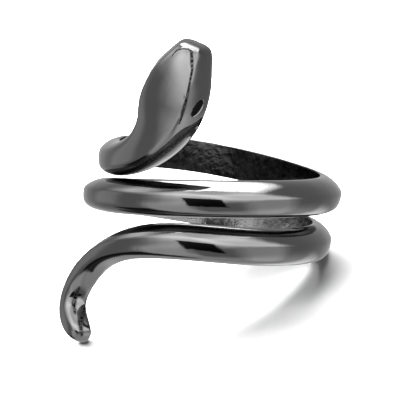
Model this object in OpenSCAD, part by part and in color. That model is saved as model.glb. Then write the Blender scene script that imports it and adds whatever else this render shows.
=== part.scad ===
// Snake wrap ring: one cast and polished body that winds a little over two turns round the
// finger, with a raised head at one end and a bent tail at the other, and an enamel drop in
// a drilled seat on each side of the head. It is drawn as it rests by itself, on the tip of
// the tail and the far rim of the lowest turn.

/* [Finger hole] */
// Radius of the hole that the finger goes through
bore_r = 8.65; // [8:0.05:9.4]

/* [Band] */
// Width of the band, measured along the finger
band_w = 3.0; // [2.6:0.05:3.2]
// Thickness of the band from the finger outwards
band_t = 2.0; // [1.6:0.05:2.6]
// How far the band comes down along the finger in one turn
band_pitch = 4.0; // [3.8:0.05:4.6]

/* [Head] */
// Length of the head and neck along the finger
head_l = 10.4; // [9:0.1:12]
// Width of the head where it is widest
head_w = 6.0; // [5:0.1:6.4]
// Thickness of the head where it is thickest
head_t = 2.95; // [2.4:0.05:3.4]

/* [Tail] */
// How far the tail comes down along the finger below the lowest turn
tail_l = 9.7; // [8:0.1:11]
// How far the tail is bent outwards off the finger
tail_flare = 1.35; // [0.4:0.05:2]

/* [Eyes] */
// Length of an eye's oval seat
eye_l = 1.6; // [1.2:0.05:1.8]
// Width of an eye's oval seat
eye_w = 0.8; // [0.6:0.05:1.1]
// How far the back end of an eye is turned towards the finger
eye_turn = 28; // [0:1:45]
// Depth of the seat
eye_depth = 0.8; // [0.5:0.05:1]
// Gap round and under the enamel drop
eye_gap = 0.05; // [0.03:0.01:0.1]
// How far the face of the enamel lies below the metal
eye_sink = 0.08; // [0.05:0.01:0.2]

/* [Rest] */
// How far the finger hole leans to the right as the ring rests
lean_right = 25.5; // [20:0.1:35]
// How far the finger hole leans to the back as the ring rests
lean_back = 9.4; // [0:0.1:14]
// Depth of the flats worn on the two places where the ring stands
stand_flat = 0.12; // [0.02:0.01:0.2]

/* [Hidden] */

// Height along the finger where the head's table starts, and where the tail's does
neck_rise = 2.05;
tail_rise = -3.95;
// How far the blank reaches into the finger hole before the hole is cut, and the
// thickness below which it reaches in by less
bore_cut = 0.25;
thin_t = 0.8;
// Distance between cross-sections along the band, and points round each of them
ring_step = 0.85;
ring_sides = 28;

// Stations along the snake from the tip of the snout to the tip of the tail.
// turn: degrees round the finger from the front, rise: height along the finger,
// lift: how far off the finger, wide and thick: size of the cross-section,
// lean: how far its crown leans to the side, form: 0 for the band's profile, 1 for the head's
// and 2 for the snout's, with the values between for a mixture of two
TURN = 0;
RISE = 1;
LIFT = 2;
WIDE = 3;
THICK = 4;
LEAN = 5;
FORM = 6;

// Head and neck. rise, wide and thick are shares of head_l, head_w and head_t
head_table = [
    // turn, rise, lift, wide, thick, lean, form
    [20.8, 1.00, 0.25, 0.00, 0.00, 1, 2],
    [20.8, 1.00, 0.25, 0.35, 0.46, 1, 2],
    [21.3, 0.97, 0.20, 0.51, 0.68, 1, 2],
    [23.1, 0.88, 0.12, 0.66, 0.86, 1, 1.8],
    [25.6, 0.76, 0.06, 0.88, 0.97, 1, 1.5],
    [27.7, 0.63, 0.03, 0.99, 1.00, 1, 1.2],
    [29.3, 0.50, 0.00, 1.02, 1.00, 1, 1],
    [31.1, 0.37, 0.00, 0.96, 0.92, 1, 0.95],
    [34.2, 0.25, 0.00, 0.80, 0.82, 1, 0.8],
    [41.5, 0.11, 0.00, 0.63, 0.71, 1, 0.5],
    [53.0, 0.01, 0.00, 0.52, 0.61, -1, 0.25],
];

// The turns of the band. rise, wide and thick are shares of band_pitch, band_w and band_t
band_table = [
    // turn, rise, lift, wide, thick, lean, form
    [74, 0.35, 0, 0.95, 0.78, 0, 0.1],
    [105, 0.45, 0, 0.94, 0.75, -2, 0],
    [150, 0.54, 0, 0.93, 1.08, -4, 0],
    [195, 0.50, 0, 0.90, 1.12, -4, 0],
    [240, 0.36, 0, 0.93, 1.02, -4, 0],
    [285, 0.30, 0, 0.97, 0.98, -4, 0],
    [330, 0.16, 0, 1.02, 0.98, -4, 0],
    [375, -0.09, 0, 1.02, 0.98, -4, 0],
    [420, -0.36, 0, 1.00, 1.12, -3, 0],
    [465, -0.48, 0, 0.94, 1.20, 0, 0],
    [510, -0.59, 0, 0.97, 1.18, -3, 0],
    [555, -0.61, 0, 0.97, 1.14, -4, 0],
    [600, -0.64, 0, 0.98, 1.02, -4, 0],
    [640, -0.73, 0, 1.00, 0.82, -4, 0],
    [675, -0.82, 0, 1.02, 0.88, -4, 0],
    [705, -0.90, 0, 1.02, 0.86, -4, 0],
    [731, -0.96, 0, 1.01, 0.86, -4, 0],
];

// Tail. rise is a share of tail_l, lift of tail_flare, wide and thick of the band's
tail_table = [
    // turn, rise, lift, wide, thick, lean, form
    [751, -0.04, 0.04, 0.97, 0.86, -4, 0],
    [769, -0.13, 0.15, 0.83, 0.86, -3, 0],
    [783, -0.275, 0.37, 0.71, 0.86, -1, 0],
    [793, -0.47, 0.67, 0.73, 0.88, 0, 0],
    [797, -0.64, 0.93, 0.76, 0.88, 0, 0],
    [796, -0.80, 1.00, 0.78, 0.90, 0, 0],
    [789, -0.93, 0.87, 0.76, 0.85, 0, 0],
    [783, -1.00, 0.78, 0.53, 0.65, 0, 0],
    [783, -1.00, 0.78, 0.00, 0.00, 0, 0],
];

stations = concat(
    [for (s = head_table)
        [s[TURN], neck_rise + s[RISE] * head_l, s[LIFT],
         s[WIDE] * head_w, s[THICK] * head_t, s[LEAN], s[FORM]]],
    [for (s = band_table)
        [s[TURN], s[RISE] * band_pitch, s[LIFT],
         s[WIDE] * band_w, s[THICK] * band_t, s[LEAN], s[FORM]]],
    [for (s = tail_table)
        [s[TURN], tail_rise + s[RISE] * tail_l, s[LIFT] * tail_flare,
         s[WIDE] * band_w, s[THICK] * band_t, s[LEAN], s[FORM]]]
);
last_station = len(stations) - 1;

// The two sides of each cross-section, from the finger round to the crown: the band's side
// towards the head and its side towards the tail, which on the head are the snake's left and its
// right. across is a share of half the width and out of the thickness; the first two points lie
// inside the finger hole
ACROSS = 0;
OUT = 1;
hole_points = 2;
band_left = [
    // across, out
    [0.50, 0],
    [0.90, 0],
    [1.04, 0.03],
    [0.97, 0.34],
    [0.78, 0.66],
    [0.52, 0.89],
    [0.32, 1.02],
    [0.12, 1.045],
];
band_right = [
    // across, out
    [0.50, 0],
    [0.90, 0],
    [1.04, 0.03],
    [1.02, 0.32],
    [0.93, 0.68],
    [0.70, 0.93],
    [0.42, 1.01],
    [0.14, 1.04],
];
head_left = [
    // across, out
    [0.50, 0],
    [0.90, 0],
    [1.00, 0.05],
    [0.99, 0.30],
    [0.74, 0.80],
    [0.66, 0.92],
    [0.60, 0.95],
    [0.26, 1.04],
];
head_right = [
    // across, out
    [0.50, 0],
    [0.90, 0],
    [1.00, 0.05],
    [1.01, 0.30],
    [0.86, 0.80],
    [0.79, 0.93],
    [0.74, 0.955],
    [0.30, 1.04],
];
snout_left = [
    // across, out
    [0.50, 0],
    [0.90, 0],
    [1.00, 0.06],
    [0.97, 0.28],
    [0.62, 0.76],
    [0.52, 0.89],
    [0.46, 0.92],
    [0.20, 1.00],
];
snout_right = [
    // across, out
    [0.50, 0],
    [0.90, 0],
    [1.00, 0.06],
    [0.99, 0.28],
    [0.77, 0.76],
    [0.67, 0.895],
    [0.62, 0.925],
    [0.22, 1.00],
];
profiles = [[band_left, band_right], [head_left, head_right], [snout_left, snout_right]];
side_points = len(band_left);
section_points = 2 * side_points;

// Weights of the four control values round a point of a uniform cubic B-spline
function spline_weights(u) =
    [pow(1 - u, 3), 3 * u * u * u - 6 * u * u + 4,
     -3 * u * u * u + 3 * u * u + 3 * u + 1, u * u * u] / 6;

// Station i, with one more beyond each end so that the spline starts and stops on a station
function station(i) =
    i < 0 ? 2 * stations[0] - stations[1]
    : i > last_station ? 2 * stations[last_station] - stations[last_station - 1]
    : stations[i];

// The station at place t along the snake, smoothed between its neighbours
function along(t) =
    let (i = min(floor(t), last_station - 1), w = spline_weights(t - i))
    w[0] * station(i - 1) + w[1] * station(i) + w[2] * station(i + 1) + w[3] * station(i + 2);

// Where the middle of a cross-section's seat lies on the finger
function seat(s) =
    let (r = bore_r + s[LIFT])
    [-r * sin(s[TURN]), -r * cos(s[TURN]), s[RISE]];

function unit(v) = v / norm(v);

// Directions of a cross-section at t: across the band, and outwards from the finger
nudge = 0.05;
function directions(t) =
    let (
        t0 = max(t - nudge, 0),
        t1 = min(t + nudge, last_station),
        ahead = unit(seat(along(t1)) - seat(along(t0))),
        turn = along(t)[TURN],
        radial = [-sin(turn), -cos(turn), 0],
        outward = unit(radial - (radial * ahead) * ahead)
    )
    [cross(ahead, outward), outward];

// Control point k of the cross-section of station s, in mm across and outwards
function control_point(s, k) =
    let (
        side = k < side_points ? 0 : 1,
        i = side == 0 ? k : section_points - 1 - k,
        k0 = min(floor(s[FORM]), 1),
        mix = s[FORM] - k0,
        profile = (1 - mix) * profiles[k0][side][i] + mix * profiles[k0 + 1][side][i],
        across = (side == 0 ? 1 : -1) * profile[ACROSS] * s[WIDE] / 2,
        reach = bore_cut * min(1, s[THICK] / thin_t),
        out = i < hole_points ? -reach : profile[OUT] * s[THICK],
        tilt = s[LEAN] * (i < hole_points ? 0 : min(1, profile[OUT]))
    )
    [across * cos(tilt) + out * sin(tilt), out * cos(tilt) - across * sin(tilt)];

// Point at place u round the control points of a cross-section
function section_point(controls, u) =
    let (i = floor(u), w = spline_weights(u - i), n = section_points)
    w[0] * controls[(i - 1 + n) % n] + w[1] * controls[i % n]
    + w[2] * controls[(i + 1) % n] + w[3] * controls[(i + 2) % n];

// Points of the surface at place t along the snake, one for each place round it
function cross_section(t, rounds) =
    let (
        s = along(t),
        d = directions(t),
        controls = [for (k = [0:section_points - 1]) control_point(s, k)]
    )
    [for (u = rounds)
        let (p = section_point(controls, u))
        seat(s) + p[ACROSS] * d[0] + p[OUT] * d[1]];

// Places of the cross-sections: each stretch between two stations gets as many as its length
// asks for, and the two tips are single points
function arc_length(a, b) =
    norm([(b[TURN] - a[TURN]) * PI / 180 * (bore_r + band_t / 2), b[RISE] - a[RISE],
          b[WIDE] - a[WIDE]]);
least_steps = 3;
places = [for (i = [0:last_station - 1])
    let (steps = max(least_steps, ceil(arc_length(stations[i], stations[i + 1]) / ring_step)))
    for (j = [0:steps - 1])
        if (i + j > 0) i + j / steps];

rounds = [for (j = [0:ring_sides - 1]) j * section_points / ring_sides];
sections = [for (t = places) cross_section(t, rounds)];
snout_tip = seat(stations[0]);
tail_tip = seat(stations[last_station]);
skin_points = concat([for (s = sections) each s], [snout_tip, tail_tip]);

// Two triangles for each patch between neighbouring cross-sections, and a fan at each tip
snout_index = len(sections) * ring_sides;
last_section = (len(sections) - 1) * ring_sides;
patch_faces = [for (i = [0:len(sections) - 2], j = [0:ring_sides - 1])
    let (
        a = i * ring_sides + j,
        b = i * ring_sides + (j + 1) % ring_sides,
        c = a + ring_sides,
        d = b + ring_sides
    )
    each [[a, c, d], [a, d, b]]];
tip_faces = [for (j = [0:ring_sides - 1])
    let (k = (j + 1) % ring_sides)
    each [[snout_index, j, k], [snout_index + 1, last_section + k, last_section + j]]];

// The rest pose: the ring leans back and to the right, and stands on the floor with the
// middle of its outline over the origin
function leaned(p) =
    let (y = p[1] * cos(lean_back) + p[2] * sin(lean_back),
         z = p[2] * cos(lean_back) - p[1] * sin(lean_back))
    [p[0] * cos(lean_right) + z * sin(lean_right), y, z * cos(lean_right) - p[0] * sin(lean_right)];
rest_points = [for (p = skin_points) leaned(p)];
rest_x = [for (p = rest_points) p[0]];
rest_y = [for (p = rest_points) p[1]];
rest_z = [for (p = rest_points) p[2]];
rest_shift = [-(min(rest_x) + max(rest_x)) / 2, -(min(rest_y) + max(rest_y)) / 2,
              -min(rest_z) - stand_flat];

module at_rest() {
    translate(rest_shift) rotate([-lean_back, lean_right, 0]) children();
}

// Where the eyes lie: the station along the head, and the places round its left and right side
eye_place = 5.65;
left_eye_round = 3.1;
right_eye_round = 3.35;

// Stands its children on the side of the head, where they point straight out of it with their
// x axis along the eye. side is 1 for the snake's left and -1 for its right
module on_head_side(side) {
    u = side > 0 ? left_eye_round : section_points - 1 - right_eye_round;
    here = cross_section(eye_place, [u, u + nudge]);
    next = cross_section(eye_place + nudge, [u])[0];
    outward = unit(cross(next - here[0], here[1] - here[0]));
    translate(here[0])
        rotate([0, acos(outward[2]), atan2(outward[1], outward[0])])
            rotate([0, 0, side * eye_turn])
                children();
}

// An oval peg of the size of an eye's seat less a gap all round, from z = 0 upwards
oval_sides = 64;
module oval_peg(h, gap) {
    linear_extrude(height = h)
        offset(delta = -gap)
            scale([eye_l / eye_w, 1])
                circle(d = eye_w, $fn = oval_sides);
}

hole_l = 60;
hole_sides = 180;
floor_w = 40;
module snake_body() {
    color("#5c5c5e")
        difference() {
            at_rest()
                difference() {
                    polyhedron(points = skin_points, faces = concat(patch_faces, tip_faces),
                               convexity = 12);
                    cylinder(h = hole_l, r = bore_r, center = true, $fn = hole_sides);
                    for (side = [-1, 1])
                        on_head_side(side)
                            translate([0, 0, -eye_depth])
                                oval_peg(2 * eye_depth, 0);
                }
            translate([-floor_w / 2, -floor_w / 2, -floor_w])
                cube(floor_w);
        }
}

// A drop of hard enamel that fills the seat up to a face just below the metal
module eye(side) {
    color("#0a0a0b")
        at_rest()
            on_head_side(side)
                translate([0, 0, eye_gap - eye_depth])
                    oval_peg(eye_depth - eye_gap - eye_sink, eye_gap);
}

module eye_left() {
    eye(1);
}

module eye_right() {
    eye(-1);
}

snake_body();
eye_left();
eye_right();
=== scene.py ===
import bpy
import mathutils
import numpy as np
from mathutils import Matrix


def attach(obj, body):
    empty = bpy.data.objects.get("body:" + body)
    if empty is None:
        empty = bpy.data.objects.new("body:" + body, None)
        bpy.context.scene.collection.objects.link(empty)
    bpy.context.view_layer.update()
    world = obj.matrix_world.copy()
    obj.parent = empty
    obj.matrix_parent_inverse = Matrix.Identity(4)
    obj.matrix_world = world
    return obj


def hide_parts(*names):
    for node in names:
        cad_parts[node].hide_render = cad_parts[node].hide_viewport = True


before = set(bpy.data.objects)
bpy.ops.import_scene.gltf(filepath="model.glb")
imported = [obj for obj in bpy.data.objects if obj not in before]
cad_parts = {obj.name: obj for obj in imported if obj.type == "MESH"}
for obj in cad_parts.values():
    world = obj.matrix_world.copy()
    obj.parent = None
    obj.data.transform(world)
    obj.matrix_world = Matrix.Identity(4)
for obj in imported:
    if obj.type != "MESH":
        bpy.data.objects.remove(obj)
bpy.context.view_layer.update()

# Snake body: cast in one piece in stainless steel, then ground, polished to a mirror and plated
# dark grey. It winds a little over two turns round the finger, from the raised head to the bent
# tail, and its inner face stays as it came from the mould. Sizes are in millimetres and degrees.
BORE_R = 8.65
BAND_W, BAND_T, BAND_PITCH = 3.0, 2.0, 4.0
HEAD_L, HEAD_W, HEAD_T = 10.4, 6.0, 2.95
TAIL_L, TAIL_FLARE = 9.7, 1.35
NECK_RISE, TAIL_RISE = 2.05, -3.95
BORE_CUT, THIN_T = 0.25, 0.8
LEAN_RIGHT, LEAN_BACK = 25.5, 9.4
REST_SHIFT = (2.455, -0.094, 8.071)

TURN, RISE, LIFT, WIDE, THICK, LEAN, FORM = range(7)
head_table = np.array([
    # turn, rise, lift, wide, thick, lean, form
    [20.8, 1.00, 0.25, 0.00, 0.00, 1, 2],
    [20.8, 1.00, 0.25, 0.35, 0.46, 1, 2],
    [21.3, 0.97, 0.20, 0.51, 0.68, 1, 2],
    [23.1, 0.88, 0.12, 0.66, 0.86, 1, 1.8],
    [25.6, 0.76, 0.06, 0.88, 0.97, 1, 1.5],
    [27.7, 0.63, 0.03, 0.99, 1.00, 1, 1.2],
    [29.3, 0.50, 0.00, 1.02, 1.00, 1, 1],
    [31.1, 0.37, 0.00, 0.96, 0.92, 1, 0.95],
    [34.2, 0.25, 0.00, 0.80, 0.82, 1, 0.8],
    [41.5, 0.11, 0.00, 0.63, 0.71, 1, 0.5],
    [53.0, 0.01, 0.00, 0.52, 0.61, -1, 0.25],
])
band_table = np.array([
    # turn, rise, lift, wide, thick, lean, form
    [74, 0.35, 0, 0.95, 0.78, 0, 0.1],
    [105, 0.45, 0, 0.94, 0.75, -2, 0],
    [150, 0.54, 0, 0.93, 1.08, -4, 0],
    [195, 0.50, 0, 0.90, 1.12, -4, 0],
    [240, 0.36, 0, 0.93, 1.02, -4, 0],
    [285, 0.30, 0, 0.97, 0.98, -4, 0],
    [330, 0.16, 0, 1.02, 0.98, -4, 0],
    [375, -0.09, 0, 1.02, 0.98, -4, 0],
    [420, -0.36, 0, 1.00, 1.12, -3, 0],
    [465, -0.48, 0, 0.94, 1.20, 0, 0],
    [510, -0.59, 0, 0.97, 1.18, -3, 0],
    [555, -0.61, 0, 0.97, 1.14, -4, 0],
    [600, -0.64, 0, 0.98, 1.02, -4, 0],
    [640, -0.73, 0, 1.00, 0.82, -4, 0],
    [675, -0.82, 0, 1.02, 0.88, -4, 0],
    [705, -0.90, 0, 1.02, 0.86, -4, 0],
    [731, -0.96, 0, 1.01, 0.86, -4, 0],
])
tail_table = np.array([
    # turn, rise, lift, wide, thick, lean, form
    [751, -0.04, 0.04, 0.97, 0.86, -4, 0],
    [769, -0.13, 0.15, 0.83, 0.86, -3, 0],
    [783, -0.275, 0.37, 0.71, 0.86, -1, 0],
    [793, -0.47, 0.67, 0.73, 0.88, 0, 0],
    [797, -0.64, 0.93, 0.76, 0.88, 0, 0],
    [796, -0.80, 1.00, 0.78, 0.90, 0, 0],
    [789, -0.93, 0.87, 0.76, 0.85, 0, 0],
    [783, -1.00, 0.78, 0.53, 0.65, 0, 0],
    [783, -1.00, 0.78, 0.00, 0.00, 0, 0],
])
stations = np.vstack([
    head_table * [1, HEAD_L, 1, HEAD_W, HEAD_T, 1, 1] + [0, NECK_RISE, 0, 0, 0, 0, 0],
    band_table * [1, BAND_PITCH, 1, BAND_W, BAND_T, 1, 1],
    tail_table * [1, TAIL_L, TAIL_FLARE, BAND_W, BAND_T, 1, 1] + [0, TAIL_RISE, 0, 0, 0, 0, 0],
])
LAST = len(stations) - 1

# across, out: the cross-section from the finger round to the crown, as shares of half the width
# and of the thickness, for the side towards the head and the side towards the tail, which on the
# head are the snake's left and its right
band_left = [
    (.50, 0), (.90, 0), (1.04, .03), (.97, .34),
    (.78, .66), (.52, .89), (.32, 1.02), (.12, 1.045),
]
band_right = [
    (.50, 0), (.90, 0), (1.04, .03), (1.02, .32),
    (.93, .68), (.70, .93), (.42, 1.01), (.14, 1.04),
]
head_left = [
    (.50, 0), (.90, 0), (1.00, .05), (.99, .30),
    (.74, .80), (.66, .92), (.60, .95), (.26, 1.04),
]
head_right = [
    (.50, 0), (.90, 0), (1.00, .05), (1.01, .30),
    (.86, .80), (.79, .93), (.74, .955), (.30, 1.04),
]
snout_left = [
    (.50, 0), (.90, 0), (1.00, .06), (.97, .28),
    (.62, .76), (.52, .89), (.46, .92), (.20, 1.00),
]
snout_right = [
    (.50, 0), (.90, 0), (1.00, .06), (.99, .28),
    (.77, .76), (.67, .895), (.62, .925), (.22, 1.00),
]
profiles = np.array([[band_left, band_right], [head_left, head_right], [snout_left, snout_right]])
SIDE_POINTS, HOLE_POINTS = len(band_left), 2
ROUND_POINTS = 2 * SIDE_POINTS


def spline_weights(share):
    """Weights of the four control values round a point of a uniform cubic B-spline."""
    return np.array([(1 - share) ** 3, 3 * share ** 3 - 6 * share ** 2 + 4,
                     -3 * share ** 3 + 3 * share ** 2 + 3 * share + 1, share ** 3]) / 6


def along(place):
    """The stations smoothed at each place: a B-spline with one more station beyond each end, as
    far out as the next one is in, so that it starts and stops on the end stations."""
    control = np.vstack([2 * stations[0] - stations[1], stations, 2 * stations[-1] - stations[-2]])
    first = np.clip(np.floor(place).astype(int), 0, LAST - 1)
    weights = spline_weights(place - first)
    return sum(weights[k][:, None] * control[first + k] for k in range(4))


def seats(station):
    """Middle of each seat on the finger: a point at the bore's radius plus the lift, turned from
    the front towards the left, at the station's rise."""
    turn, radius = np.radians(station[:, TURN]), BORE_R + station[:, LIFT]
    return np.stack([-radius * np.sin(turn), -radius * np.cos(turn), station[:, RISE]], 1)


def section_controls(station):
    """Control polygon of each cross-section, in mm across and out: the profiles mixed by the
    form, sized by width and thickness, then turned by the lean in step with how far out they lie."""
    form = station[:, FORM]
    lower = np.clip(np.floor(form), 0, 1).astype(int)
    share = (form - lower)[:, None, None, None]
    profile = profiles[lower] * (1 - share) + profiles[lower + 1] * share
    profile = np.concatenate([profile[:, 0], profile[:, 1, ::-1] * [-1, 1]], 1)
    across = profile[..., 0] * station[:, WIDE, None] / 2
    out = profile[..., 1] * station[:, THICK, None]
    reach = BORE_CUT * np.minimum(1, station[:, THICK] / THIN_T)
    hole = np.minimum(np.arange(ROUND_POINTS), np.arange(ROUND_POINTS)[::-1]) < HOLE_POINTS
    out = np.where(hole, -reach[:, None], out)
    tilt = np.radians(station[:, LEAN, None]) * np.where(hole, 0, np.minimum(1, profile[..., 1]))
    sine, cosine = np.sin(tilt), np.cos(tilt)
    return np.stack([across * cosine + out * sine, out * cosine - across * sine], -1)


def body_surface(place, rounds):
    """Point at each place along the snake and each place round it, in mm with the bore upright:
    the closed B-spline of the section's control polygon, laid out from the seat across the band
    and outwards from the finger, square to the way that the seats run."""
    nudge = 1e-3
    station = along(place)
    before, after = np.maximum(place - nudge, 0), np.minimum(place + nudge, LAST)
    ahead = seats(along(after)) - seats(along(before))
    ahead /= np.linalg.norm(ahead, axis=1, keepdims=True)
    turn = np.radians(station[:, TURN])
    radial = np.stack([-np.sin(turn), -np.cos(turn), 0 * turn], 1)
    outward = radial - np.sum(radial * ahead, 1, keepdims=True) * ahead
    outward /= np.linalg.norm(outward, axis=1, keepdims=True)
    across = np.cross(ahead, outward)
    controls = section_controls(station)
    first = np.floor(rounds).astype(int)
    weights = spline_weights(rounds - first)
    section = sum(weights[k][None, :, None] * controls[:, (first + k - 1) % ROUND_POINTS]
                  for k in range(4))
    sideways = section[..., :1] * across[:, None]
    return seats(station)[:, None] + sideways + section[..., 1:] * outward[:, None]


def off_the_bore(points, soft):
    """Points inside the finger hole pushed out to its wall: the distance from the wall becomes
    half of itself plus the root of its square and soft squared, which rounds the edge a little."""
    radius = np.hypot(points[..., 0], points[..., 1])
    gap = radius - BORE_R
    out = BORE_R + (gap + np.sqrt(gap ** 2 + soft ** 2)) / 2
    return points * np.stack([out / radius, out / radius, np.ones_like(radius)], -1)


def at_rest(points):
    """Points turned back by LEAN_BACK about X, then right by LEAN_RIGHT about Y, set on the floor
    and put in metres."""
    back, right = np.radians(LEAN_BACK), np.radians(LEAN_RIGHT)
    x, y, z = np.moveaxis(points, -1, 0)
    y, z = y * np.cos(back) + z * np.sin(back), z * np.cos(back) - y * np.sin(back)
    x, z = x * np.cos(right) + z * np.sin(right), z * np.cos(right) - x * np.sin(right)
    return (np.stack([x, y, z], -1) + REST_SHIFT) / 1000


def at_rest_way(ways):
    """Directions turned as at_rest turns points."""
    return (at_rest(ways) - at_rest(np.zeros(3))) * 1000


def closed_skin(name, rings, first_tip, last_tip):
    """A closed mesh over rows of points, with a fan to a single point at each end."""
    count, around = rings.shape[:2]
    row = np.arange(count - 1)[:, None] * around
    here = np.arange(around)
    beside = (here + 1) % around
    quads = np.stack([row + here, row + here + around, row + beside + around, row + beside], -1)
    last_row, tip = (count - 1) * around, count * around
    first_fan = np.stack([np.full(around, tip), here, beside], 1)
    last_fan = np.stack([np.full(around, tip + 1), last_row + beside, last_row + here], 1)
    mesh = bpy.data.meshes.new(name)
    mesh.from_pydata(np.vstack([rings.reshape(-1, 3), [first_tip, last_tip]]), [],
                     quads.reshape(-1, 4).tolist() + first_fan.tolist() + last_fan.tolist())
    mesh.shade_smooth()
    piece = bpy.data.objects.new(name, mesh)
    bpy.context.collection.objects.link(piece)
    return piece


# rows are close together on the head and tail and further apart on the plain turns, and the
# points of a row are closer together on the snake's right than elsewhere
NECK_END, TIP_START = 9, LAST - 1.5
head_end, band_end = len(head_table), len(head_table) + len(band_table)
stretches = [
    # start, stop, rows
    (0, 2, 25), (2, NECK_END, 151), (NECK_END, head_end, 30),
    (head_end, band_end, 240), (band_end, TIP_START, 60), (TIP_START, LAST, 30),
]
row_places = np.concatenate([np.linspace(*stretch)[1:] for stretch in stretches])[:-1]
ROUNDS, FINE_FROM, FINE_TO = 128, 6.2, 12.9
round_step = ROUND_POINTS / ROUNDS
round_places = np.arange(ROUNDS) * round_step
on_right = (round_places > FINE_FROM) & (round_places < FINE_TO)
round_places = np.sort(np.concatenate([round_places, round_places[on_right] + round_step / 2]))
body_rows = body_surface(row_places, round_places)

# an oval seat is sunk in each side of the head for the eye
EYE_L, EYE_W, EYE_TURN = 1.6, 0.8, 28.0
EYE_PLACE, LEFT_EYE_ROUND, RIGHT_EYE_ROUND = 5.65, 3.1, 3.35
SEAT_DEPTH, SEAT_EDGE, SEAT_REACH = 0.3, 0.08, 1.0


def eye_axes(side):
    """Where an eye's axis leaves the head, and three directions: along the head, across the
    side, and out of it. side is 1 for the snake's left and -1 for its right."""
    nudge = 0.05
    high = LEFT_EYE_ROUND if side > 0 else ROUND_POINTS - 1 - RIGHT_EYE_ROUND
    here, up = body_surface(np.array([EYE_PLACE]), np.array([high, high + nudge]))[0]
    after = body_surface(np.array([EYE_PLACE + nudge]), np.array([high]))[0, 0]
    out = np.cross(after - here, up - here)
    out /= np.linalg.norm(out)
    flat = np.hypot(out[0], out[1])
    down = np.array([out[0] * out[2] / flat, out[1] * out[2] / flat, -flat])
    turn = np.radians(EYE_TURN) * side
    long = down * np.cos(turn) + np.cross(out, down) * np.sin(turn)
    return here, long, np.cross(out, long), out


def sink_seat(points, side):
    """Points within the seat's oval are moved in along its axis to the seat's floor, over a
    slope at the oval's edge as wide as SEAT_EDGE of the oval."""
    here, long, wide, out = eye_axes(side)
    gap = points - here
    oval = np.hypot(gap @ long / (EYE_L / 2), gap @ wide / (EYE_W / 2))
    near = np.abs(gap @ out) < SEAT_REACH
    share = np.clip((1 - oval) / SEAT_EDGE, 0, 1) * near
    fall = np.minimum(-SEAT_DEPTH - gap @ out, 0)
    return points + (share * fall)[..., None] * out


# A fine line is cut along the ridge on the snake's right and round the snout, and coloured black.
# Near-black is also painted as shade in the hollow under the neck and as two crooked creases on
# the tail, which are painted only. Each has places along the snake and round it, and half widths.
LINE_DEPTH, FULL_BLACK = 0.05, 1.5
ridge_line = np.array([
    # place, round, half_wide
    [3.1, 6.6, 0.04],
    [2.6, 6.5, 0.08],
    [2.2, 7.0, 0.08],
    [2.0, 7.7, 0.09],
    [2.1, 8.2, 0.12],
    [2.8, 8.8, 0.13],
    [3.3, 9.3, 0.07],
    [4.1, 9.5, 0.05],
    [5.0, 9.8, 0.07],
    [5.8, 9.9, 0.10],
    [6.1, 10.0, 0.10],
    [6.7, 10.3, 0.05],
])
# painted shade in the hollow under the neck
under_neck_shade = np.array([
    # place, round, half_wide
    [6.4, 12.4, 0.12],
    [6.9, 11.9, 0.20],
    [7.4, 11.5, 0.30],
    [7.9, 11.4, 0.36],
    [8.5, 11.2, 0.38],
    [9.0, 11.1, 0.36],
    [10.0, 11.3, 0.32],
    [11.2, 11.4, 0.15],
])
# painted shade as two crooked creases on the tail, which the skin doesn't have
upper_tail_shade = np.array([
    # place, round, half_wide
    [31.5, 11.4, 0.08],
    [32.1, 11.5, 0.16],
    [32.8, 11.5, 0.21],
    [33.6, 11.4, 0.10],
])
lower_tail_shade = np.array([
    # place, round, half_wide
    [33.2, 13.2, 0.20],
    [33.7, 12.6, 0.25],
    [34.3, 11.6, 0.23],
    [35.0, 11.0, 0.14],
    [35.5, 9.9, 0.11],
])
# painted shade round the snout, darkest at one point near the tip and fading away from it
SNOUT_PLACE, SNOUT_ROUND, SNOUT_SHADE, SNOUT_REACH = 1.9, 8.6, 0.35, 0.9


def black_along(path, points):
    """How black each point is beside a path, up to 1: FULL_BLACK times exp of minus the square of
    the distance from the path over its half width there."""
    bends = np.concatenate([body_surface(place, high)[0] for place, high in path[:, :2, None]])
    half_wide = path[:, 2]
    share = np.zeros(points.shape[:-1])
    for start, step, wide, wider in zip(bends, np.diff(bends, axis=0), half_wide, np.diff(half_wide)):
        at = np.clip((points - start) @ step / (step @ step), 0, 1)
        away = np.linalg.norm(points - start - at[..., None] * step, axis=-1)
        share = np.maximum(share, FULL_BLACK * np.exp(-(away / (wide + at * wider)) ** 2))
    return np.minimum(share, 1)


def surface_ways(rows):
    """Unit directions out of a grid of points that is closed across: the cross product of its
    steps along and across."""
    along_step = np.gradient(rows, axis=0)
    across_step = np.roll(rows, -1, 1) - np.roll(rows, 1, 1)
    ways = np.cross(across_step, along_step)
    return ways / np.maximum(np.linalg.norm(ways, axis=-1, keepdims=True), 1e-12)


HOLE_RIM = 0.06
skin_rows = off_the_bore(body_rows, HOLE_RIM)
in_line = black_along(ridge_line, skin_rows)
skin_rows = skin_rows - (LINE_DEPTH * in_line)[..., None] * surface_ways(skin_rows)
for side in (1, -1):
    skin_rows = sink_seat(skin_rows, side)
tips = off_the_bore(seats(stations[[0, -1]]), HOLE_RIM)
# small flats are worn where it stands, on the tail and on the rim of the lowest turn
standing = at_rest(skin_rows)
standing[..., 2] = np.maximum(standing[..., 2], 0)
snake = closed_skin("snake_skin", standing, *at_rest(tips))

# the attribute below is how black each point is: the ridge line's black and the painted shade,
# which on the snout fades with the distance from the tip
snout = body_surface(np.array([SNOUT_PLACE]), np.array([SNOUT_ROUND]))[0, 0]
from_snout = np.linalg.norm(body_rows - snout, axis=-1)
black_and_shade_share = np.maximum(in_line, SNOUT_SHADE * np.exp(-(from_snout / SNOUT_REACH) ** 2))
for path in (under_neck_shade, upper_tail_shade, lower_tail_shade):
    black_and_shade_share = np.maximum(black_and_shade_share, black_along(path, body_rows))
black_and_painted_shade = snake.data.attributes.new("black_and_painted_shade", "FLOAT", "POINT")
black_and_painted_shade.data.foreach_set("value", np.append(black_and_shade_share.ravel(), [0, 0]))
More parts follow.
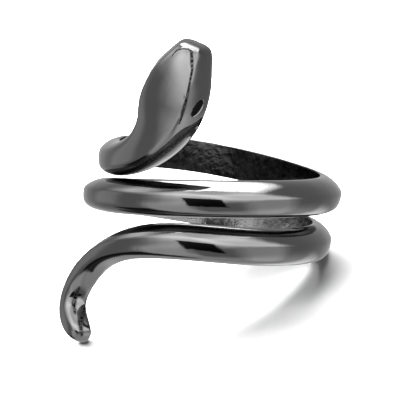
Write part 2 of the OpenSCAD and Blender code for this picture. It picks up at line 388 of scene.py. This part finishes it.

# the attribute below is how far the inner face is painted lighter, as painted light where the lower
# turns show between the coils: not at all on the first turn, and fully past the second of the two turns
# below
LIT_INNER_FROM, LIT_INNER_TO = 330, 420
turns = along(row_places)[:, TURN]
lit_inner_rows = np.clip((turns - LIT_INNER_FROM) / (LIT_INNER_TO - LIT_INNER_FROM), 0, 1)
painted_light_inner = snake.data.attributes.new("painted_light_inner", "FLOAT", "POINT")
painted_light_inner.data.foreach_set("value", np.append(np.repeat(lit_inner_rows, len(round_places)), [0, 1]))


def linear(colour):
    """An sRGB hex colour as linear red, green, blue and alpha."""
    srgb = np.array([int(colour[i:i + 2], 16) / 255 for i in (1, 3, 5)])
    return (*np.where(srgb <= 0.04045, srgb / 12.92, ((srgb + 0.055) / 1.055) ** 2.4), 1)


def add(tree, kind, inputs=(), **settings):
    """Adds a node with its settings; inputs maps a socket's name or number to a value or to the
    socket that feeds it."""
    node = tree.nodes.new(kind)
    for name, value in settings.items():
        setattr(node, name, value)
    for key, value in dict(inputs).items():
        if isinstance(value, bpy.types.NodeSocket):
            tree.links.new(value, node.inputs[key])
        else:
            node.inputs[key].default_value = value
    return node


def new_finish(name):
    """A new material and its node tree, with no nodes yet."""
    finish = bpy.data.materials.new(name)
    finish.use_nodes = True
    finish.node_tree.nodes.clear()
    return finish, finish.node_tree


# Gunmetal plate over steel polished on a soft wheel: a dark mirror. The wheel leaves slow waves
# and ripples, which bend the reflections, and hairlines that only dull them a little. Where the
# attribute is high, the plate turns a matt, patchy near-black: black in the ridge line, painted
# shade elsewhere. Object coordinates are metres, so a pattern's scale is 1000 over its size in mm;
# the hairlines are drawn coarser than they are, to show.
WAVE, RIPPLE, CLOUD, HAIR, SPECK = 2.2, 0.7, 3.5, 0.18, 0.16
polished, tree = new_finish("gunmetal_plate_polished_with_painted_shade")
where = add(tree, "ShaderNodeTexCoord").outputs["Object"]
clouds = add(tree, "ShaderNodeTexNoise", {"Vector": where, "Scale": 1000 / CLOUD, "Detail": 2.0})
plate = add(tree, "ShaderNodeMix", {0: clouds.outputs[0], 6: linear("#5c5c5c"), 7: linear("#636363")},
            data_type="RGBA")
waves = add(tree, "ShaderNodeTexNoise", {"Vector": where, "Scale": 1000 / WAVE, "Detail": 1.0})
ripples = add(tree, "ShaderNodeTexNoise", {"Vector": where, "Scale": 1000 / RIPPLE, "Detail": 2.0})
hairs = add(tree, "ShaderNodeTexNoise", {
    "Vector": where, "Scale": 1000 / HAIR, "Detail": 3.0, "Roughness": 0.6})
dull = add(tree, "ShaderNodeMapRange", {0: hairs.outputs[0], 1: 0.35, 2: 0.75, 3: 0.03, 4: 0.08})
wavy = add(tree, "ShaderNodeBump", {"Height": waves.outputs[0], "Distance": 0.00004, "Strength": 1.0})
rippled = add(tree, "ShaderNodeBump", {
    "Height": ripples.outputs[0], "Distance": 0.000008, "Strength": 1.0, "Normal": wavy.outputs[0]})
hairy = add(tree, "ShaderNodeBump", {
    "Height": hairs.outputs[0], "Distance": 0.0000005, "Strength": 1.0, "Normal": rippled.outputs[0]})
black = add(tree, "ShaderNodeAttribute", attribute_name="black_and_painted_shade").outputs["Fac"]
specks = add(tree, "ShaderNodeTexNoise", {"Vector": where, "Scale": 1000 / SPECK, "Detail": 2.0})
patchy = add(tree, "ShaderNodeMapRange", {0: specks.outputs[0], 1: 0.38, 2: 0.55, 3: 0.55, 4: 1.0})
# the plate is mixed towards near-black here: the ridge line's black and the painted shade
near_black_share = add(tree, "ShaderNodeMath", {0: black, 1: patchy.outputs[0]}, operation="MULTIPLY")
tone = add(tree, "ShaderNodeMix", {0: near_black_share.outputs[0], 6: plate.outputs[2], 7: linear("#060606")},
           data_type="RGBA")
matt = add(tree, "ShaderNodeMath", {0: near_black_share.outputs[0], 1: 0.4, 2: dull.outputs[0]},
           operation="MULTIPLY_ADD")
metal = add(tree, "ShaderNodeBsdfPrincipled", {
    "Base Color": tone.outputs[2], "Metallic": 1.0,
    "Roughness": matt.outputs[0], "Normal": hairy.outputs[0]})
add(tree, "ShaderNodeOutputMaterial", {"Surface": metal.outputs[0]})

# The same plate over the inner face as it came from the mould: grains and pits of about half a
# millimetre, so it looks darker and scatters the light. Its near-black is partly painted shade; on
# the later turns it is painted lighter grey, as painted light on the strip seen between the coils.
GRAIN, PIT = 0.5, 0.6
as_cast, tree = new_finish("gunmetal_plate_as_cast_with_painted_light")
where = add(tree, "ShaderNodeTexCoord").outputs["Object"]
grains = add(tree, "ShaderNodeTexNoise", {
    "Vector": where, "Scale": 1000 / GRAIN, "Detail": 4.0, "Roughness": 0.6})
pits = add(tree, "ShaderNodeTexVoronoi", {"Vector": where, "Scale": 1000 / PIT})
plate = add(tree, "ShaderNodeMix", {0: grains.outputs[0], 6: linear("#1e1e1e"), 7: linear("#3e3e3e")},
            data_type="RGBA")
# painted light: lighter greys for the inner face of the later turns
painted_light_tone = add(tree, "ShaderNodeMix", {0: grains.outputs[0], 6: linear("#646464"), 7: linear("#a8a8a8")},
            data_type="RGBA")
lit_inner_share = add(tree, "ShaderNodeAttribute", attribute_name="painted_light_inner").outputs["Fac"]
tone = add(tree, "ShaderNodeMix", {0: lit_inner_share, 6: plate.outputs[2], 7: painted_light_tone.outputs[2]}, data_type="RGBA")
dull = add(tree, "ShaderNodeMapRange", {0: grains.outputs[0], 1: 0.3, 2: 0.7, 3: 0.1, 4: 0.26})
grainy = add(tree, "ShaderNodeBump", {"Height": grains.outputs[0], "Distance": 0.00003, "Strength": 1.0})
pitted = add(tree, "ShaderNodeBump", {
    "Height": pits.outputs[0], "Distance": 0.00002, "Strength": 0.6, "Normal": grainy.outputs[0]})
metal = add(tree, "ShaderNodeBsdfPrincipled", {
    "Base Color": tone.outputs[2], "Metallic": 1.0,
    "Roughness": dull.outputs[0], "Normal": pitted.outputs[0]})
add(tree, "ShaderNodeOutputMaterial", {"Surface": metal.outputs[0]})

# a face is as cast when its four corners lie on the wall of the finger hole
WALL_SKIN = 0.02
snake.data.materials.append(polished)
snake.data.materials.append(as_cast)
on_wall = np.hypot(skin_rows[..., 0], skin_rows[..., 1]) < BORE_R + WALL_SKIN
on_wall &= np.roll(on_wall, -1, 1)
on_wall = on_wall[:-1] & on_wall[1:]
finish_of_face = np.zeros(len(snake.data.polygons), dtype=np.int32)
finish_of_face[:on_wall.size] = on_wall.ravel()
snake.data.polygons.foreach_set("material_index", finish_of_face)
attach(snake, "root")
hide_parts("snake_body")

# Eyes: a drop of hard black enamel in each seat, fired and then rubbed dull, with a narrow gap
# round it. Its face is a little hollow, and its middle lies EYE_SINK under the metal.
EYE_GAP, EYE_SINK, EYE_HOLLOW = 0.05, 0.08, 0.03
DROP_FOOT, DROP_BEVEL = -0.35, 0.02
DROP_RINGS, DROP_ROUNDS = 16, 64
LUMP = 0.6
enamel, tree = new_finish("black_enamel_rubbed")
where = add(tree, "ShaderNodeTexCoord").outputs["Object"]
lumps = add(tree, "ShaderNodeTexNoise", {"Vector": where, "Scale": 1000 / LUMP, "Detail": 1.0})
tone = add(tree, "ShaderNodeMix", {0: lumps.outputs[0], 6: linear("#050506"), 7: linear("#0c0c0e")},
           data_type="RGBA")
dull = add(tree, "ShaderNodeMapRange", {0: lumps.outputs[0], 3: 0.5, 4: 0.7})
lumpy = add(tree, "ShaderNodeBump", {"Height": lumps.outputs[0], "Distance": 0.000004, "Strength": 1.0})
glass = add(tree, "ShaderNodeBsdfPrincipled", {
    "Base Color": tone.outputs[2], "Roughness": dull.outputs[0], "IOR": 1.3,
    "Specular IOR Level": 0.08, "Normal": lumpy.outputs[0]})
add(tree, "ShaderNodeOutputMaterial", {"Surface": glass.outputs[0]})


def eye_drop(name, side):
    """Rings of an oval from the foot up the side and over the face. The face falls from the edge
    to the middle by EYE_HOLLOW, as 1 less the square of the share of the way out."""
    here, long, wide, out = eye_axes(side)
    way_out = np.linspace(1, 0, DROP_RINGS + 1)[1:-1]
    edge = EYE_HOLLOW - EYE_SINK
    share = np.concatenate([[1 - DROP_BEVEL, 1, 1], way_out])
    height = np.concatenate([[DROP_FOOT, DROP_FOOT + DROP_BEVEL, edge],
                             edge + EYE_HOLLOW * (way_out ** 2 - 1)])
    angle = np.linspace(0, 2 * np.pi, DROP_ROUNDS + 1)[:-1, None]
    rim = np.cos(angle) * (EYE_L - EYE_GAP) / 2 * long + np.sin(angle) * (EYE_W - EYE_GAP) / 2 * wide
    rings = here + share[:, None, None] * rim + height[:, None, None] * out
    foot, middle = at_rest(here + DROP_FOOT * out), at_rest(here - EYE_SINK * out)
    drop = closed_skin(name, at_rest(rings[:, ::-1]), foot, middle)
    drop.data.materials.append(enamel)
    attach(drop, "root")
    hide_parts("eye_left" if side > 0 else "eye_right")


eye_drop("eye_drop_left", 1)
eye_drop("eye_drop_right", -1)

# Floor: a plain white table top, painted matt, that runs out of sight. Its half width is in
# metres. The metal doesn't mirror it: the tent's lower half stands in for what it would show.
FLOOR_HALF = 0.3
floor_mesh = bpy.data.meshes.new("floor")
floor_mesh.from_pydata([(-FLOOR_HALF, -FLOOR_HALF, 0), (FLOOR_HALF, -FLOOR_HALF, 0),
                        (FLOOR_HALF, FLOOR_HALF, 0), (-FLOOR_HALF, FLOOR_HALF, 0)], [], [(0, 1, 2, 3)])
floor = bpy.data.objects.new("floor", floor_mesh)
bpy.context.collection.objects.link(floor)
table_top, tree = new_finish("white_matt_paint")
paint = add(tree, "ShaderNodeBsdfPrincipled", {
    "Base Color": linear("#e7e7e7"), "Roughness": 0.8, "Specular IOR Level": 0.0})
add(tree, "ShaderNodeOutputMaterial", {"Surface": paint.outputs[0]})
floor.data.materials.append(table_top)
floor.visible_glossy = False

# Light: a tent of grey cloth round the ring, which the metal mirrors. It glows in broad fields
# with soft edges, and is dark where the camera looks in and at a black card low on the left.
world = bpy.data.worlds.new("tent")
bpy.context.scene.world = world
world.use_nodes = True
tree = world.node_tree
tree.nodes.clear()
way = add(tree, "ShaderNodeTexCoord").outputs["Generated"]


def glow(azimuth, half_wide, low, high, soft, rise):
    """Share of a field's light in each direction: 1 inside a field of the tent that reaches
    half_wide to each side of the azimuth and from low to high, with edges that fade over twice
    soft. All are degrees but rise, by which the field climbs for each degree to the right;
    azimuth is 0 towards the viewer and 90 on the right."""
    turned = add(tree, "ShaderNodeVectorRotate", {"Vector": way, "Angle": -np.radians(azimuth)},
                 rotation_type="Z_AXIS")
    part = add(tree, "ShaderNodeSeparateXYZ", {0: turned.outputs[0]})
    front = add(tree, "ShaderNodeMath", {0: part.outputs[1], 1: -1.0}, operation="MULTIPLY")
    aside = add(tree, "ShaderNodeMath", {0: part.outputs[0], 1: front.outputs[0]}, operation="ARCTAN2")
    level = add(tree, "ShaderNodeMath", {0: part.outputs[2]}, operation="ARCSINE")
    height = add(tree, "ShaderNodeMath", {0: aside.outputs[0], 1: -rise, 2: level.outputs[0]},
                 operation="MULTIPLY_ADD")
    off = add(tree, "ShaderNodeMath", {0: aside.outputs[0]}, operation="ABSOLUTE")
    share = 1.0
    edges = [
        # value, dark, bright
        (off, half_wide + soft, half_wide - soft),
        (height, low - soft, low + soft),
        (height, high + soft, high - soft),
    ]
    for value, dark, bright in edges:
        fade = add(tree, "ShaderNodeMapRange", {
            0: value.outputs[0], 1: np.radians(dark), 2: np.radians(bright)},
            interpolation_type="SMOOTHSTEP")
        both = add(tree, "ShaderNodeMath", {0: share, 1: fade.outputs[0]}, operation="MULTIPLY")
        share = both.outputs[0]
    return share


PLAIN_CLOTH = 0.6
bright_fields = [
    # name, brightness, azimuth, half_wide, low, high, soft, rise
    ("roof", 2.2, 10, 90, 48, 120, 18, 0),
    ("right_side", 3.2, 47, 39, -6, 56, 12, 0),
    ("low_right", 0.9, 52, 26, -75, 0, 12, 0),
    ("high_front", 3.0, -12, 30, 8, 75, 25, 0),
    ("low_left", 1.2, -42, 20, -45, 5, 8, 0),
    ("far_left", 0.5, -106, 16, -5, 35, 8, 0),
    ("high_left", 3.0, -122, 34, 50, 72, 16, 0),
    ("high_back", 9.0, 140, 50, 38, 84, 7, -0.2),
    ("table", 0.9, 0, 200, -120, -46, 12, 0),
    ("table_back", 1.3, 160, 34, -68, -42, 8, 0),
]
dark_fields = [
    # name, depth, azimuth, half_wide, low, high, soft, rise
    ("front_gap", 0.97, -7, 16, -18, 13, 2, -0.55),
    ("black_card", 0.92, -83, 20, -64, -20, 5, 0),
]
light = PLAIN_CLOTH
for name, brightness, *reach in bright_fields:
    lit = add(tree, "ShaderNodeMath", {0: glow(*reach), 1: brightness, 2: light},
              operation="MULTIPLY_ADD", label=name)
    light = lit.outputs[0]
for name, depth, *reach in dark_fields:
    left = add(tree, "ShaderNodeMath", {0: glow(*reach), 1: -depth, 2: 1.0}, operation="MULTIPLY_ADD")
    dimmed = add(tree, "ShaderNodeMath", {0: light, 1: left.outputs[0]}, operation="MULTIPLY", label=name)
    light = dimmed.outputs[0]
cloth = add(tree, "ShaderNodeBackground", {"Color": (1, 1, 1, 1), "Strength": light})
add(tree, "ShaderNodeOutputWorld", {"Surface": cloth.outputs[0]})
world.cycles_visibility.diffuse = False

# The tent lights only what mirrors it. The table and the enamel are lit by a low wide lamp behind
# on the left, whose shadows fall towards the viewer, and by two weak high ones, which the metal
# doesn't mirror. azimuth and elevation are degrees as above, the sizes and distance metres.
LAMP_DISTANCE = 0.3
lamps = [
    # name, azimuth, elevation, wide, high, watts
    ("back_lamp", -163, 31, 0.41, 0.12, 7.8),
    ("left_lamp", -120, 69, 0.12, 0.12, 0.38),
    ("right_lamp", 130, 66, 0.12, 0.12, 0.18),
]
for name, azimuth, elevation, wide, high, watts in lamps:
    lamp = bpy.data.lights.new(name, "AREA")
    lamp.shape = "RECTANGLE"
    lamp.size, lamp.size_y, lamp.energy = wide, high, watts
    holder = bpy.data.objects.new(name, lamp)
    bpy.context.collection.objects.link(holder)
    around, above = np.radians([azimuth, elevation])
    outward = np.array([np.sin(around) * np.cos(above), -np.cos(around) * np.cos(above), np.sin(above)])
    aimed = mathutils.Vector(outward).to_track_quat("Z", "Y").to_matrix().to_4x4()
    holder.matrix_world = mathutils.Matrix.Translation(outward * LAMP_DISTANCE) @ aimed
    holder.visible_glossy = False

# Camera: a long lens that looks down a little into the finger hole, with the picture turned as
# the photograph is. The middle of the hole, at rise 0, falls on RING_PIXEL. The distance and the
# sensor's width are millimetres.
CAMERA_TILT, CAMERA_ROLL = 4.3, 9.0
CAMERA_DISTANCE, PIXELS_PER_MM = 260.0, 11.74
SENSOR_W, PICTURE, RING_PIXEL = 36.0, 400, (214.8, 190.3)
tilt, roll = np.radians(CAMERA_TILT), np.radians(CAMERA_ROLL)
level = np.array([1.0, 0, 0])
upright = np.array([0, np.sin(tilt), np.cos(tilt)])
towards = np.array([0, -np.cos(tilt), np.sin(tilt)])
right = level * np.cos(roll) + upright * np.sin(roll)
up = upright * np.cos(roll) - level * np.sin(roll)
lens = bpy.data.cameras.new("camera")
lens.sensor_width = SENSOR_W
lens.lens = PIXELS_PER_MM * CAMERA_DISTANCE / PICTURE * SENSOR_W
lens.clip_start = 0.02
lens.shift_x = -(RING_PIXEL[0] - PICTURE / 2) / PICTURE
lens.shift_y = (RING_PIXEL[1] - PICTURE / 2) / PICTURE
camera = bpy.data.objects.new("camera", lens)
bpy.context.collection.objects.link(camera)
axes = np.eye(4)
axes[:3, :3] = at_rest_way(np.stack([right, up, towards])).T
axes[:3, 3] = at_rest(CAMERA_DISTANCE * towards)
camera.matrix_world = mathutils.Matrix(axes.tolist())
bpy.context.scene.camera = camera
bpy.context.scene.view_settings.view_transform = "Standard"
